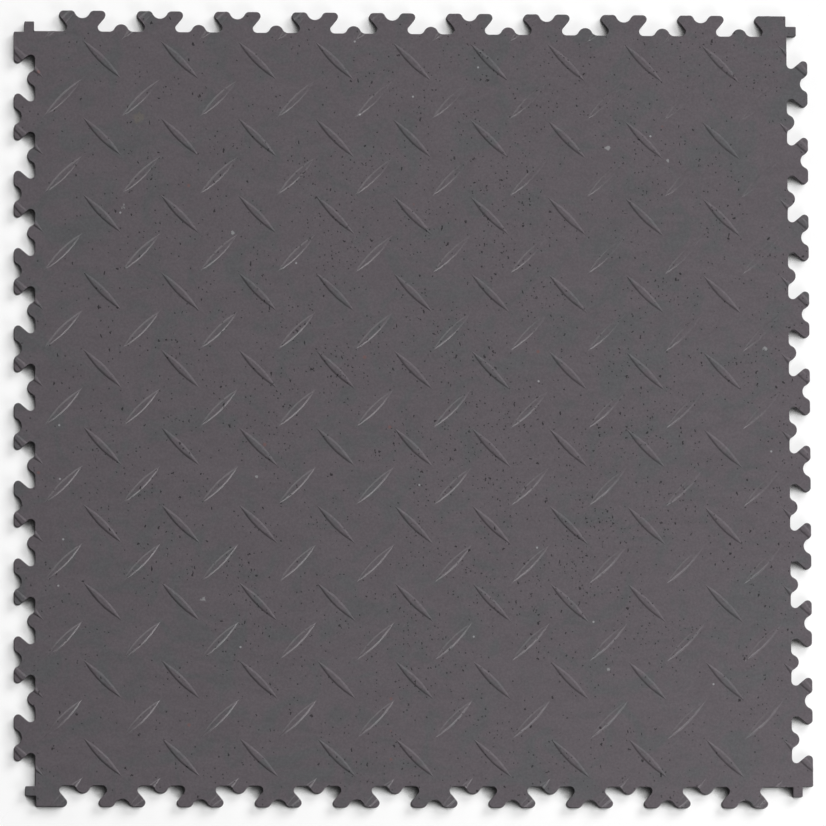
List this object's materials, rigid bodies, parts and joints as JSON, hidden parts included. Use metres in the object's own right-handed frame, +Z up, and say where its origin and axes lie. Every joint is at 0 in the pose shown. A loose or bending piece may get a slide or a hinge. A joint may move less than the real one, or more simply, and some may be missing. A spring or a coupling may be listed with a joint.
{
  "type": "interlocking pvc floor tile",
  "caption": "Square grey PVC floor tile with a dovetail interlocking edge on all sides and a tread of low lens-shaped bars at 45 degrees.",
  "frame": {"origin": "under the middle of the tile, on the plane that it lies on", "axes": "+Z up out of the tread, +X and +Y along the sides"},
  "size_m": [0.51, 0.51, 0.007],
  "materials": {
    "pvc": "matt, mottled recycled PVC with fine pits"
  },
  "bodies": {
    "root": {"floor_tile": "pvc"}
  },
  "joints": []
}
